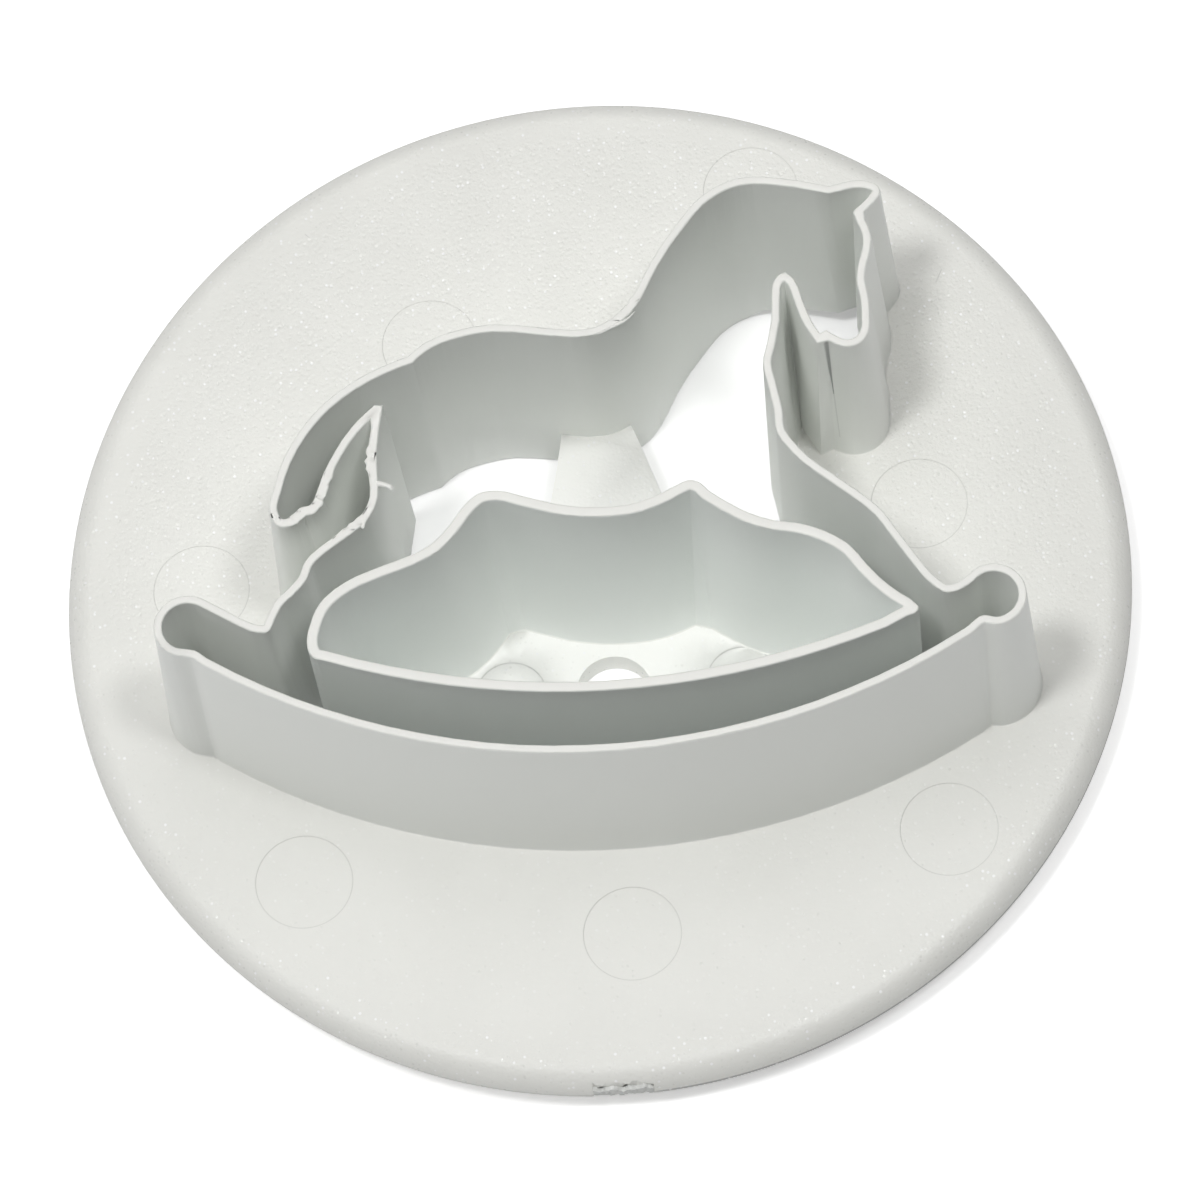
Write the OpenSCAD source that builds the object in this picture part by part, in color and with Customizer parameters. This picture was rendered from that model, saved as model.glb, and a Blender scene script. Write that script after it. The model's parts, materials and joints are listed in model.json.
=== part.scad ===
// Rocking horse cutter for dough and sugar paste, moulded in one shot of plastic.
// A thin blade in the outline of the horse stands on a round plate. A second blade, the
// island, cuts out the space between the belly and the rocker. The plate is open inside
// the outline, and a bridge under the belly carries the island.
// The origin is the centre of the underside, where the skirt rests. +X is the way the horse faces.

/* [Horse] */
// Length of the horse on its rocker, end to end at the cutting edge
horse_l = 69.5; // [55:0.5:80]
// How far the disc reaches past each end of the rocker
disc_margin = 10.25; // [9:0.25:16]

/* [Disc] */
// Thickness of the flat plate
plate_t = 3; // [2:0.1:4]
// Height of the disc at its edge, from the table to the top of the plate
rim_h = 5.8; // [4.8:0.1:8]
// Width of the rounded edge
rim_w = 3.2; // [1:0.1:4]
// Height of the rounded edge
rim_rise = 2.2; // [1:0.1:2.8]
// How far the edge overhangs the skirt below it
lip_w = 1.5; // [0.8:0.1:2]
// Thickness of the skirt that stands on the table under the edge
skirt_w = 2; // [1.2:0.1:3]

/* [Outer blade] */
// Height of the cutting edges above the plate
blade_h = 20; // [10:0.5:26]
// Width of the flat cutting edge
land_w = 0.68; // [0.5:0.02:0.9]
// Spread of the outer face from the cutting edge down to the plate
outer_draft = 1.1; // [0.4:0.05:1.4]
// Lean of the inner face from the cutting edge down to its lower end
inner_draft = 0.4; // [0.1:0.05:0.6]
// Gap under the blade's lower end when the disc stands on a table
foot_gap = 0.3; // [0.1:0.1:1]

/* [Island] */
// Width of the island's flat cutting edge
island_land_w = 0.88; // [0.6:0.02:1]
// Spread of the island's outer face from the cutting edge down to the table
island_draft = 0.15; // [0.05:0.05:0.3]
// Lean of the island's inner face from the cutting edge down to its floor
island_taper = 2; // [1:0.1:2.4]
// Thickness of the island's floor
floor_t = 2.8; // [2:0.1:3.6]
// Diameter of the release hole through the floor
hole_d = 6.4; // [4:0.1:6.8]

/* [Marks] */
// Diameter of the ejector pin marks on the plate
pin_d = 8.1; // [6:0.1:9]
// Diameter of the ejector pin marks on the island's floor
floor_pin_d = 6; // [4:0.1:6.4]
// Depth of the ejector pin marks
pin_deep = 0.05; // [0.02:0.01:0.2]
// Width of the cut-off gate on the rim
gate_w = 5; // [3:0.1:8]
// Height of the cut-off gate
gate_h = 0.9; // [0.5:0.1:1.2]
// Depth of the recess that keeps the gate inside the edge
gate_recess = 0.5; // [0.3:0.1:1]
// How far the cut-off gate stays back from the edge
gate_back = 0.2; // [0.05:0.05:0.25]

/* [Hidden] */

$fn = 96;
white = [0.90, 0.91, 0.90];
shade = [0.80, 0.82, 0.81];
bright = [0.95, 0.96, 0.95];

// Heights above the table
plate_z = rim_h;
under_z = rim_h - plate_t;
edge_z = plate_z + blade_h;

// The disc, and its edge ring, which holds the rounded edge and a narrow flat beside it
edge_flat = 0.2;
disc_r = horse_l / 2 + disc_margin;
plate_r = disc_r - max(rim_w, lip_w + skirt_w) - edge_flat;
// Narrow upright band at the foot of the rounded edge, and the height of its lower corner
edge_band = 0.2;
lip_z = plate_z - rim_rise - edge_band;

// A line offset into a corner is cut across where the corner is tighter than this multiple
corner_cut = 1.03;
// The same for the well rounded corners inside the island
island_corner_cut = 1.3;
// Longest turn of a curve between two of its points, in degrees
facet_a = 6;
// Longest stretch that a mitred corner may reach, as a multiple of the offset
miter_max = 1.8;

// Points of an arc with centre c and radius r, from angle a to angle b
function arc(c, r, a, b, n) = [for (i = [0:n]) c + r * [cos(a + (b - a) * i / n), sin(a + (b - a) * i / n)]];

// Points of the arc from point a to point b with radius r, which bows to the right of the way there
function bow(a, b, r, n) = let (
    half = (b - a) / 2,
    c = a + half + [-half.y, half.x] / norm(half) * sqrt(r * r - half * half)
) arc(c, r, atan2(a.y - c.y, a.x - c.x), atan2(b.y - c.y, b.x - c.x), n);

// The rocker: its lower line is an arc between two ends, and each end swells into a round tip
rocker_rear = [-30.74, -12.89];
rocker_front = [30.74, -12.89];
rocker_r = 58;
tip_r = 2;
rear_tip_c = [-32.4, -10.05];
front_tip_c = [33.1, -10.05];

// The figure is set from the length that it is drawn at to the horse's length
drawn_l = front_tip_c.x - rear_tip_c.x + 2 * tip_r;
figure_k = horse_l / drawn_l;
// Where the figure's own origin is on the disc
figure_at = [0.16, -0.85];

// Runs of the outer outline, anticlockwise on the inner edge of the land.
// A third value of 1 marks a sharp corner.
rear_tip = arc(rear_tip_c, tip_r, 70, 270, 8);
rocker = concat([[-31.7, -12.2]], bow(rocker_rear, rocker_front, rocker_r, 24));
front_tip = concat([[32.2, -11.85]], arc(front_tip_c, tip_r, -80, 110, 8));
foreleg = [
    [31.2, -9.1], [30, -9.7], [29.3, -9.75], [28.3, -9.1], [26.6, -7], [24.9, -4.4],
    [23.8, -2.7], [22.2, -1.2], [20.2, 0.4], [18, 2.2], [16.6, 3.9]
];
chest = [
    [16, 4.9], [15.8, 7], [15.3, 9.5], [15, 11.1], [15.4, 13], [15.8, 15], [15.9, 17.4],
    [16.1, 18.5]
];
jaw = [[17, 19.2], [17.6, 18.8], [18.1, 17.8], [18.5, 16.4], [19.1, 14.8]];
muzzle = [[19.75, 13.65, 1], [20.3, 13.93, 1], [21.1, 13.35], [21.95, 13], [22.6, 13.15], [23.1, 13.8]];
face = [[23.2, 14.9], [23.2, 16.4], [22.9, 18.4], [23.1, 19.8], [23.45, 21.1], [23.5, 22.4], [23.1, 23.5]];
ear = [
    [22.87, 24.15], [22.8, 24.45], [22.98, 24.72], [23.5, 25.2], [24.25, 26.05], [24.4, 26.32],
    [24.15, 26.48], [22.9, 26.66]
];
poll = [[21.7, 26.42], [20.84, 26.24, 1], [19.45, 26.6], [18, 26.96], [16.6, 27.2], [14.5, 27.45]];
neck = [[12.9, 27.2], [11.6, 26.6], [10.4, 25.7], [9, 24], [7.6, 22.1], [6.4, 20.1], [5.5, 18.2]];
back = [
    [4.5, 16.5], [2.9, 15.1], [1.1, 14.3], [-0.8, 14.2], [-3.6, 14.6], [-7.2, 15], [-9.9, 14.6],
    [-12.2, 13.8]
];
rump = [
    [-13.8, 12.5, 1], [-16, 11.7], [-18.5, 10.4], [-20.7, 8.7], [-22.6, 6.4], [-23.9, 4], [-24.7, 1.4]
];
tail_tip = [[-24.95, -0.3], [-24.5, -0.95], [-23.8, -0.6]];
tail_inner = [
    [-23.1, 0], [-22.3, 0.2], [-21.8, 1.2], [-21.3, 2.7], [-20.3, 4.8], [-19, 6.8], [-17.8, 8.1],
    [-17, 8.85, 1]
];
haunch = [[-16.3, 8.78, 1], [-16.38, 8.2], [-16.6, 6.8], [-16.82, 4.6], [-16.75, 2.4]];
hind_leg = [
    [-16.75, 0.6], [-17.5, -1.2], [-19.2, -2.7], [-21.1, -4.1], [-22.1, -5.1], [-22.6, -6.4],
    [-23.6, -7.6], [-24.7, -8.7], [-25.2, -9.8]
];
rear_runner = [[-25.8, -10.85], [-26.7, -10.85], [-28.2, -10.2], [-29.7, -9.3], [-30.8, -8.65]];

// Runs of the island's outline, anticlockwise on the outer edge of its land.
// Its front is an arc that stays a little flatter than the rocker.
island_rear_end = [-21.23, -13.55];
island_fore_end = [24.46, -12.52];
island_flatter = 8.5;
island_front = concat(
    [[-22.42, -12.8], [-22.1, -13.25]],
    bow(island_rear_end, island_fore_end, rocker_r + island_flatter, 18),
    [[26.1, -11.65], [26.85, -11.35]]
);
island_fore = [
    [27.05, -10.95], [26.75, -10.5], [25.3, -9.4], [24, -8.2], [22.9, -6.9], [21.8, -5.4], [20.5, -4.4],
    [18.9, -3.6], [17.3, -3.1], [15.5, -2.8], [13.6, -2.1], [11.8, -1], [10.4, 0], [9.5, 0.85]
];
island_belly = [
    [8.8, 1.05], [8.1, 0.85], [6.7, 0.1], [4.7, -0.7], [1.4, -1.05], [-2.2, -0.6], [-4.8, 0.2]
];
island_rear = [
    [-6.9, 0.8], [-8.5, 0.6], [-9.6, -0.3], [-11, -2.2], [-12.3, -3.6], [-14.1, -4.6], [-16.6, -5.5],
    [-18.6, -6.3], [-20.3, -7.3], [-21.6, -8.6], [-22.3, -10.2], [-22.6, -11.9]
];

// The bridge's two sides, from the back of the horse to the island
bridge_rear = [[-2.9, 14.5], [-3.25, 11.8], [-3.95, 8], [-4.8, 4.4], [-5.8, 0.9]];
bridge_front = [[3, 14.5], [4, 12.4], [5.4, 8.6], [6.9, 4.6], [8.2, 1.2]];

// Middle of the release hole
hole_c = [1, -8.3];

// Ejector pin marks: on the plate, and on the island's floor
pins = [
    [-33.6, 1.2], [-14.1, 23.1], [13.7, 36.3], [27.2, 6.5], [-24.9, -25.3], [2.3, -30.9], [28.7, -22.8]
];
floor_pins = [[-7.7, -8.3], [11.8, -7.7]];
// Where the gate was, round the edge
gate_a = -88.2;

// Vector helpers
function unit(v) = v / norm(v);
function xy(p) = [p.x, p.y] * figure_k + figure_at;
function right(v) = [v.y, -v.x];
function angle(a, b) = acos(max(-1, min(1, a * b)));
function mirrored(t, u) = 2 * (u * t) * u - t;
function sharp(p) = len(p) > 2;
function flat(lists) = [for (l = lists) each l];

// Start of each list in the joined list, with the length of the whole at the end
function starts(lists) = [for (i = 0, s = 0; i <= len(lists); s = s + (i < len(lists) ? len(lists[i]) : 0), i = i + 1) s];

// Heading at a knot: that of the circle through it and its neighbours
function heading(k, i) = let (
    n = len(k),
    before = xy(k[i]) - xy(k[(i + n - 1) % n]),
    after = xy(k[(i + 1) % n]) - xy(k[i])
) unit(before / (before * before) + after / (after * after));

// Points of the curve from knot i up to the next one, which is left to the next call
function span(k, i) = let (
    j = (i + 1) % len(k),
    a = xy(k[i]),
    b = xy(k[j]),
    chord = b - a,
    u = unit(chord),
    ha = sharp(k[i]) ? (sharp(k[j]) ? u : mirrored(heading(k, j), u)) : heading(k, i),
    hb = sharp(k[j]) ? (sharp(k[i]) ? u : mirrored(heading(k, i), u)) : heading(k, j),
    turn = angle(ha, u) + angle(u, hb),
    n = max(1, ceil(turn / facet_a)),
    pull = norm(chord) / pow(cos(turn / 4), 2)
) [
    for (s = [0:n - 1]) let (t = s / n, t2 = t * t, t3 = t2 * t)
        (2 * t3 - 3 * t2 + 1) * a + (t3 - 2 * t2 + t) * pull * ha
        + (3 * t2 - 2 * t3) * b + (t3 - t2) * pull * hb
];

// Outward direction at each point of a closed anticlockwise line, longer at a mitred corner
function outward(line) = let (n = len(line)) [
    for (i = [0:n - 1]) let (
        before = unit(line[i] - line[(i + n - 1) % n]),
        after = unit(line[(i + 1) % n] - line[i]),
        half = unit(before + after)
    ) right(half) * min(miter_max, 1 / max(0.1, half * after))
];

// How far each point can move along its direction before another part of the line is as near
function rooms(line, dirs) = [
    for (i = [0:len(line) - 1]) let (u = unit(dirs[i])) min([
        for (q = line) let (v = q - line[i], ahead = u * v) ahead > 0.001 ? (v * v) / (2 * ahead) : 1000
    ])
];

// Nearest point of a line, going one way from point i, that is marked as free
function free_from(free, i, way) = free[i] ? i : free_from(free, (i + way + len(free)) % len(free), way);

// A closed line moved far along its directions. Points with too little room for that, times
// cut, go to the end of the free stretch on their side, so a tight corner or gap is filled.
function moved(line, dirs, rooms, far, cut) = let (
    n = len(line),
    free = [for (r = rooms) far * cut < r]
) [
    for (i = [0:n - 1]) let (
        a = free_from(free, i, -1),
        b = free_from(free, i, 1),
        at = (i - a + n) % n <= (b - i + n) % n ? a : b
    ) line[at] + dirs[at] * far
];

// The outer outline as points, with the first point of each run
outer_runs = [
    rear_tip, rocker, front_tip, foreleg, chest, jaw, muzzle, face, ear, poll, neck, back, rump,
    tail_tip, tail_inner, haunch, hind_leg, rear_runner
];
outer_knots = flat(outer_runs);
outer_spans = [for (i = [0:len(outer_knots) - 1]) span(outer_knots, i)];
outer_line = flat(outer_spans);
outer_at = starts(outer_spans);
outer_out = outward(outer_line);
outer_in = -1 * outer_out;
outer_room = rooms(outer_line, outer_out);
inner_room = rooms(outer_line, outer_in);

// Lower end of the blade: a rib under the plate round the body, and level with the plate's
// underside from the jaw to the ear. Along the poll it comes down from one to the other.
body_low = foot_gap;
head_low = under_z;
jaw_run = 5;
poll_run = 9;
back_run = 11;
function run_low(r, share) =
    r < jaw_run || r > poll_run ? body_low
    : r < poll_run ? head_low
    : head_low + (body_low - head_low) * share;

// The outer blade's lines: outside of the land, foot at the plate, and inner face at height z
foot_w = land_w + outer_draft;
land_line = moved(outer_line, outer_out, outer_room, land_w, corner_cut);
foot_line = moved(outer_line, outer_out, outer_room, foot_w, corner_cut);
function inner_line(z) = moved(
    outer_line, outer_in, inner_room, inner_draft * (edge_z - z) / (edge_z - body_low), corner_cut
);
body_line = inner_line(body_low);

// Ring of points across the outer blade at point i, for a lower end at height low
function outer_ring(i, low) = let (
    lean = (edge_z - low) / (edge_z - body_low),
    low_in = outer_line[i] + (body_line[i] - outer_line[i]) * lean
) [
    [outer_line[i].x, outer_line[i].y, edge_z], [land_line[i].x, land_line[i].y, edge_z],
    [foot_line[i].x, foot_line[i].y, plate_z], [foot_line[i].x, foot_line[i].y, low],
    [low_in.x, low_in.y, low]
];

// The island's outline as points
island_runs = [island_front, island_fore, island_belly, island_rear];
belly_run = 2;
island_knots = flat(island_runs);
island_spans = [for (i = [0:len(island_knots) - 1]) span(island_knots, i)];
island_line = flat(island_spans);
island_at = starts(island_spans);
island_out = outward(island_line);
island_in = -1 * island_out;
island_room = rooms(island_line, island_in);

// The island's lines: inside of the land, and inner face at the floor
island_land = moved(island_line, island_in, island_room, island_land_w, corner_cut);
floor_line = moved(island_line, island_in, island_room, island_land_w + island_taper, island_corner_cut);

// Ring of points across the island's blade at point i
function island_ring(i) = let (foot = island_line[i] + island_out[i] * island_draft) [
    [island_land[i].x, island_land[i].y, edge_z], [island_line[i].x, island_line[i].y, edge_z],
    [foot.x, foot.y, 0], [floor_line[i].x, floor_line[i].y, 0], [floor_line[i].x, floor_line[i].y, floor_t]
];

// Solid strip through rings of equally many points. Where a point stands still from one
// ring to the next it is one and the same corner of the solid.
module strip(rings) {
    n = len(rings);
    m = len(rings[0]);
    ids = [
        for (
            i = 0, row = [for (j = [0:m - 1]) j];
            i < n;
            i = i + 1,
            row = [for (j = [0:m - 1]) i < n && rings[i][j] == rings[i - 1][j] ? row[j] : i * m + j]
        ) row
    ];
    sides = [
        for (i = [0:n - 2]) for (j = [0:m - 1]) let (
            a = ids[i][j],
            b = ids[i][(j + 1) % m],
            c = ids[i + 1][j],
            d = ids[i + 1][(j + 1) % m]
        ) each [[a, c, d], [a, d, b]]
    ];
    ends = [
        for (j = [1:m - 2]) each [
            [ids[0][0], ids[0][j], ids[0][j + 1]],
            [ids[n - 1][0], ids[n - 1][j + 1], ids[n - 1][j]]
        ]
    ];
    faces = [for (f = concat(sides, ends)) if (f[0] != f[1] && f[1] != f[2] && f[2] != f[0]) f];
    polyhedron(flat(rings), faces);
}

// Solid between two outlines of equally many points at heights low and high
module slab(low_line, low, high_line, high) {
    n = len(low_line);
    sides = [
        for (i = [0:n - 1]) let (j = (i + 1) % n) each [[i, n + j, j], [i, n + i, n + j]]
    ];
    ends = [[for (i = [0:n - 1]) i], [for (i = [n - 1:-1:0]) n + i]];
    points = concat([for (p = low_line) [p.x, p.y, low]], [for (p = high_line) [p.x, p.y, high]]);
    polyhedron(points, concat(sides, ends));
}

// Blade over run r of the outer outline
module outer_blade(r) {
    knot = starts(outer_runs);
    first = outer_at[knot[r]];
    last = outer_at[knot[r + 1]];
    count = len(outer_line);
    strip([
        for (i = [first:last]) outer_ring(i % count, run_low(r, (i - first) / (last - first)))
    ]);
}

// Blade over run r of the island's outline
module island_blade(r) {
    knot = starts(island_runs);
    first = island_at[knot[r]];
    last = island_at[knot[r + 1]];
    count = len(island_line);
    strip([for (i = [first:last]) island_ring(i % count)]);
}

// A closed line without its repeated points
function single(line) = [for (i = [0:len(line) - 1]) if (line[i] != line[(i + len(line) - 1) % len(line)]) line[i]];

// Shallow round recesses that ejector pins leave
module pin_marks(places, d, z) {
    for (p = places) translate(concat(xy(p), z - pin_deep)) cylinder(d = d, h = 2 * pin_deep);
}

// Flat round plate, open inside the foot of the outer blade
module plate() {
    color(white) difference() {
        translate([0, 0, under_z]) cylinder(r = plate_r, h = plate_t);
        translate([0, 0, under_z - 1]) linear_extrude(plate_t + 2) polygon(single(foot_line));
        pin_marks(pins, pin_d, plate_z);
    }
}

// Half section of the rim: rounded edge above, and the skirt set back under its lip
skirt_r = disc_r - lip_w;
rim_section = concat(
    [[plate_r, plate_z], [plate_r, under_z], [skirt_r - skirt_w, under_z], [skirt_r - skirt_w, 0]],
    [[skirt_r, 0], [skirt_r, lip_z], [disc_r, lip_z]],
    [for (p = arc([0, 0], 1, 0, 90, 12)) [disc_r - rim_w * (1 - p.x), plate_z - rim_rise * (1 - p.y)]]
);

// Outline of a patch of the edge where the gate was, between two depths
gate_half = asin(gate_w / 2 / disc_r);
function gate_patch(deep, shallow) = concat(
    arc([0, 0], disc_r - deep, gate_a - gate_half, gate_a + gate_half, 4),
    arc([0, 0], disc_r - shallow, gate_a + gate_half, gate_a - gate_half, 4)
);

// Rounded edge of the disc with its skirt, which stands on the table
module rim() {
    color(white) difference() {
        rotate_extrude() polygon(rim_section);
        pin_marks(pins, pin_d, plate_z);
        translate([0, 0, lip_z - 1]) linear_extrude(rim_rise + 2) polygon(gate_patch(gate_recess, -1));
    }
}

// What is left of the gate, cut off inside its recess
module gate_stub() {
    color(shade) translate([0, 0, lip_z]) linear_extrude(gate_h) polygon(gate_patch(gate_recess, gate_back));
}

// Outer blade, run by run
module rear_tip_wall() { color(shade) outer_blade(0); }
module rocker_wall() { color(white) outer_blade(1); }
module front_tip_wall() { color(shade) outer_blade(2); }
module foreleg_wall() { color(white) outer_blade(3); }
module chest_wall() { color(shade) outer_blade(4); }
module jaw_wall() { color(white) outer_blade(5); }
module muzzle_wall() { color(shade) outer_blade(6); }
module face_wall() { color(white) outer_blade(7); }
module ear_wall() { color(shade) outer_blade(8); }
module poll_wall() { color(white) outer_blade(9); }
module neck_wall() { color(shade) outer_blade(10); }
module back_wall() { color(white) outer_blade(11); }
module rump_wall() { color(shade) outer_blade(12); }
module tail_tip_wall() { color(white) outer_blade(13); }
module tail_inner_wall() { color(shade) outer_blade(14); }
module haunch_wall() { color(white) outer_blade(15); }
module hind_leg_wall() { color(shade) outer_blade(16); }
module rear_runner_wall() { color(white) outer_blade(17); }

// Island blade, run by run
module island_front_wall() { color(white) island_blade(0); }
module island_fore_wall() { color(shade) island_blade(1); }
module island_belly_wall() { color(white) island_blade(2); }
module island_rear_wall() { color(shade) island_blade(3); }

// Floor inside the island, with the release hole
module island_floor() {
    color(bright) difference() {
        linear_extrude(floor_t) polygon(single(floor_line));
        translate(concat(xy(hole_c), -1)) cylinder(d = hole_d, h = floor_t + 2);
        pin_marks(floor_pins, floor_pin_d, floor_t);
    }
}

// Height of a line at x, between the two points on either side of it
function level(line, x) = [
    for (i = [0:len(line) - 2]) let (a = line[i], b = line[i + 1])
        if ((a.x - x) * (b.x - x) <= 0 && a.x != b.x) a.y + (b.y - a.y) * (x - a.x) / (b.x - a.x)
][0];

// Stretch of a line between two values of x, with its own points in between
function between(line, xa, xb) = concat(
    [[xa, level(line, xa)]],
    [for (p = line) if ((p.x - xa) * (p.x - xb) < 0) p],
    [[xb, level(line, xb)]]
);

// Line of the back's inner face at height z, from the withers to the rump
function back_face(z) = let (knot = starts(outer_runs), line = inner_line(z)) [
    for (i = [outer_at[knot[back_run]]:outer_at[knot[back_run + 1]]]) line[i]
];

// Line of the island's outer face at height z, over the belly
function belly_face(z) = let (knot = starts(island_runs), spread = island_draft * (edge_z - z) / edge_z) [
    for (i = [island_at[knot[belly_run]]:island_at[knot[belly_run + 1]]])
        island_line[i] + island_out[i] * spread
];

// The bridge's outline at height z: along the back, down its rear side, along the belly, and back
function bridge_line(z) = let (
    rear = [for (p = bridge_rear) xy(p)],
    front = [for (p = bridge_front) xy(p)],
    last = len(rear) - 1,
    belly = between(belly_face(z), front[last].x, rear[last].x)
) concat(
    between(back_face(z), front[0].x, rear[0].x),
    [for (i = [1:last - 1]) rear[i]],
    [for (i = [len(belly) - 1:-1:0]) belly[i]],
    [for (i = [last - 1:-1:1]) front[i]]
);

// Bridge from the horse's back to the island, level with the plate
module belly_bridge() {
    color(bright) slab(bridge_line(under_z), under_z, bridge_line(plate_z), plate_z);
}

plate();
rim();
gate_stub();
rear_tip_wall();
rocker_wall();
front_tip_wall();
foreleg_wall();
chest_wall();
jaw_wall();
muzzle_wall();
face_wall();
ear_wall();
poll_wall();
neck_wall();
back_wall();
rump_wall();
tail_tip_wall();
tail_inner_wall();
haunch_wall();
hind_leg_wall();
rear_runner_wall();
island_front_wall();
island_fore_wall();
island_belly_wall();
island_rear_wall();
island_floor();
belly_bridge();
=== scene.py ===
"""Looks of the rocking horse cutter: fine moulded skins, plastic finishes, soft light and camera.

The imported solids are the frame. Every run of the two blades, the plate, its rounded rim, the
island's floor, the bridge and the cut-off gate get a finer skin here, which rides on the one body.
All lengths are in metres, in the frame of the solids: +Z up from the table, +X the way the horse
faces, +Y from the rocker towards the horse's back. Lengths called millimetres are multiplied by MM.
"""

import json
import logging
import math
from collections.abc import Callable, Iterator
from contextlib import contextmanager
from dataclasses import dataclass, replace
from enum import Enum

import bpy
import numpy as np
from mathutils import Matrix, Vector, noise

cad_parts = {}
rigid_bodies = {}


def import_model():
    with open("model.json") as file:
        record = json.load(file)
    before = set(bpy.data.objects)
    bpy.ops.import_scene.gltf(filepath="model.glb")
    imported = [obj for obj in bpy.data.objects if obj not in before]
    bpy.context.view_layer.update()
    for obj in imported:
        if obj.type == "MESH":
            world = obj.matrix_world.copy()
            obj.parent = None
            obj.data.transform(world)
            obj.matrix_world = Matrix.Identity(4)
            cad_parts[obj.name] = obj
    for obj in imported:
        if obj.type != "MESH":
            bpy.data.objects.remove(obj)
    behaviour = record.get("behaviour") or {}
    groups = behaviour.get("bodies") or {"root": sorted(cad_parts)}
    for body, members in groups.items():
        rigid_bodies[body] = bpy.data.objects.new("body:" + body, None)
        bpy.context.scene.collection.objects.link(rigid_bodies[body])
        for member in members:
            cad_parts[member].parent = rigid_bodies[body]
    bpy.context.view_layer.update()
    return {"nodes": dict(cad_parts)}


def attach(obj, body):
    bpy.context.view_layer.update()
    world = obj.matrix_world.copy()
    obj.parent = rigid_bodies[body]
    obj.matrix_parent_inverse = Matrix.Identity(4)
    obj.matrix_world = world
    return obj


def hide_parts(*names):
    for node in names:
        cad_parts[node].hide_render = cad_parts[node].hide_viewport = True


LOG = logging.getLogger("cutter")
MM = 0.001
NEAR = 0.01 * MM
UPRIGHT, SLOPE, FLAT = 0.2, 0.5, 0.9
BODY = "root"
PLATE_Z = 5.8 * MM
UNDER_Z = 2.8 * MM
FIGURE_AT = (0.16, -0.85)

Point = tuple[float, float]
Triple = tuple[float, float, float]
Piece = bpy.types.Object
Nodes = dict[str, Piece]
Items = bpy.types.bpy_prop_collection
Material = bpy.types.Material
Tree = bpy.types.NodeTree
Node = bpy.types.Node
Socket = bpy.types.NodeSocket


class Slot(Enum):
    """Material slots of the record."""

    FROSTED = "frosted_white"
    SATIN = "satin_white"
    TORN = "torn_white"


class Side(Enum):
    """The two long faces of a blade."""

    OUTER = 1
    INNER = 0


# Modelling helpers


def only(*pieces: Piece) -> None:
    """Selects these pieces alone, the first one active.

    Args:
        *pieces: The pieces; with none, all is deselected for a new primitive.
    """
    if bpy.context.mode != "OBJECT":
        bpy.ops.object.mode_set(mode="OBJECT")
    bpy.ops.object.select_all(action="DESELECT")
    for piece in pieces:
        piece.select_set(True)
    if pieces:
        bpy.context.view_layer.objects.active = pieces[0]


@contextmanager
def editing(piece: Piece, kind: str = "VERT", whole: bool = False) -> Iterator[None]:
    """Opens a piece in edit mode, in one selection mode, and closes it after.

    Args:
        piece: The mesh object to edit.
        kind: VERT, EDGE or FACE.
        whole: Selects everything; else the piece's own selection is kept.
    """
    only(piece)
    bpy.context.tool_settings.mesh_select_mode = tuple(kind == k for k in ("VERT", "EDGE", "FACE"))
    bpy.ops.object.mode_set(mode="EDIT")
    if whole:
        bpy.ops.mesh.select_all(action="SELECT")
    yield
    bpy.ops.object.mode_set(mode="OBJECT")


def pick_points(piece: Piece, test: Callable[[Vector], bool]) -> None:
    """Selects the points that pass a test, and nothing else.

    Args:
        piece: The piece in object mode.
        test: Takes a point's place.
    """
    mesh = piece.data
    for kind in (mesh.polygons, mesh.edges):
        kind.foreach_set("select", [False] * len(kind))
    for point in mesh.vertices:
        point.select = bool(test(point.co))


def pick_faces(piece: Piece, test: Callable[[bpy.types.MeshPolygon], bool]) -> None:
    """Selects the faces that pass a test, and nothing else.

    Args:
        piece: The piece in object mode.
        test: Takes a face.
    """
    pick_points(piece, lambda co: False)
    for face in piece.data.polygons:
        face.select = bool(test(face))


def read(items: Items, key: str, kind: type = float, width: int = 1) -> np.ndarray:
    """Reads one property of all items of a mesh.

    Args:
        items: Points, faces, corners or an attribute's data.
        key: Name of the property.
        kind: Number type of the array.
        width: How many numbers the property has.

    Returns:
        One number or one row an item.
    """
    found = np.empty(len(items) * width, kind)
    items.foreach_get(key, found)
    return found.reshape(-1, width) if width > 1 else found


def places(mesh: bpy.types.Mesh) -> np.ndarray:
    """Places of a mesh's points, one row each."""
    return read(mesh.vertices, "co", width=3)


def put_places(mesh: bpy.types.Mesh, co: np.ndarray) -> None:
    """Writes the places of a mesh's points back."""
    mesh.vertices.foreach_set("co", co.astype(np.float32).ravel())
    mesh.update()


def merged(piece: Piece, gap: float = 0.002 * MM) -> None:
    """Joins points that lie on each other."""
    with editing(piece, whole=True):
        bpy.ops.mesh.remove_doubles(threshold=gap)


def outward(piece: Piece) -> None:
    """Turns every face of a closed piece outwards."""
    with editing(piece, "FACE", whole=True):
        bpy.ops.mesh.normals_make_consistent(inside=False)


def smooth(piece: Piece, angle: float = 30.0) -> None:
    """Shades a piece smooth where its faces meet at less than an angle in degrees."""
    only(piece)
    bpy.ops.object.shade_smooth_by_angle(angle=math.radians(angle))


def apply(piece: Piece, modifier: bpy.types.Modifier) -> None:
    """Applies a modifier to its piece."""
    only(piece)
    bpy.ops.object.modifier_apply(modifier=modifier.name)


def at_origin(piece: Piece) -> None:
    """Moves a piece's place, turn and scale into its mesh."""
    only(piece)
    bpy.ops.object.transform_apply(location=True, rotation=True, scale=True)


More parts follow.
